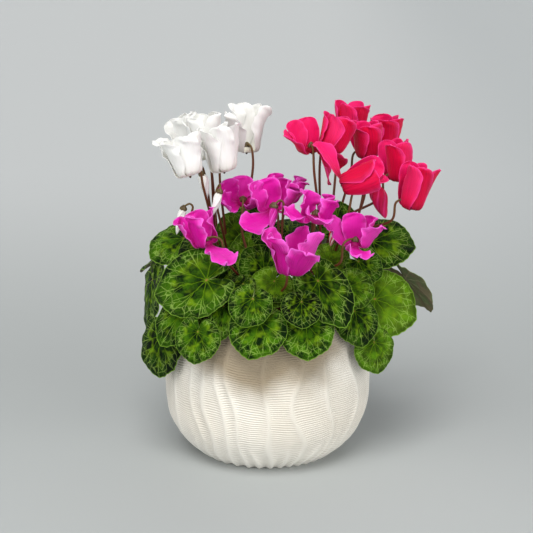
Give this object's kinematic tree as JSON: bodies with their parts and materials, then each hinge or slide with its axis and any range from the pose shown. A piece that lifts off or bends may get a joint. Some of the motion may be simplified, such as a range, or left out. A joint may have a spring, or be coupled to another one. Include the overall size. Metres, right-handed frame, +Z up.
{
  "type": "potted cyclamen",
  "caption": "White, magenta and red cyclamen plants grown together in a rounded ceramic bowl pot with wavy vertical flutes, standing on its flat foot.",
  "frame": {"origin": "centre of the pot's flat foot, on the surface that it stands on", "axes": "+Z up, -Y towards the front of the arrangement, +X to its right"},
  "size_m": [0.2607, 0.2301, 0.2963],
  "materials": {
    "pot_ceramic": "matte, warm off-white",
    "soil": "crumbly dark potting soil",
    "stalk": "fine-haired, brown-red to olive",
    "leaf": "waxy green with pale veins and silvery marbling",
    "petal_white": "soft satin, off-white",
    "petal_magenta": "soft satin, magenta with paler edges",
    "petal_red": "soft satin, crimson with pinker edges"
  },
  "bodies": {
    "root": {"pot": "pot_ceramic", "soil": "soil", "crown_white": "stalk", "crown_magenta": "stalk", "crown_red": "stalk", "bloom_white_1": "petal_white", "bloom_white_2": "petal_white", "bloom_white_3": "petal_white", "bloom_white_4": "petal_white", "bloom_white_5": "petal_white", "bud_white_1": "petal_white", "bud_white_2": "petal_white", "bud_white_3": "petal_white", "bloom_magenta_1": "petal_magenta", "bloom_magenta_2": "petal_magenta", "bloom_magenta_3": "petal_magenta", "bloom_magenta_4": "petal_magenta", "bloom_magenta_5": "petal_magenta", "bloom_magenta_6": "petal_magenta", "bloom_magenta_7": "petal_magenta", "bud_magenta_1": "petal_magenta", "bloom_red_1": "petal_red", "bloom_red_2": "petal_red", "bloom_red_3": "petal_red", "bloom_red_4": "petal_red", "bloom_red_5": "petal_red", "bloom_red_6": "petal_red", "bloom_red_7": "petal_red", "bloom_red_8": "petal_red", "bud_red_1": "petal_red", "bud_red_2": "petal_red", "bud_red_3": "petal_red", "leaf_01": "leaf", "leaf_02": "leaf", "leaf_03": "leaf", "leaf_04": "leaf", "leaf_05": "leaf", "leaf_06": "leaf", "leaf_07": "leaf", "leaf_08": "leaf", "leaf_09": "leaf", "leaf_10": "leaf", "leaf_11": "leaf", "leaf_12": "leaf", "leaf_13": "leaf", "leaf_14": "leaf", "leaf_15": "leaf", "leaf_16": "leaf", "leaf_17": "leaf", "leaf_18": "leaf", "leaf_19": "leaf", "leaf_20": "leaf", "leaf_21": "leaf", "leaf_22": "leaf", "leaf_23": "leaf", "leaf_24": "leaf"}
  },
  "joints": []
}
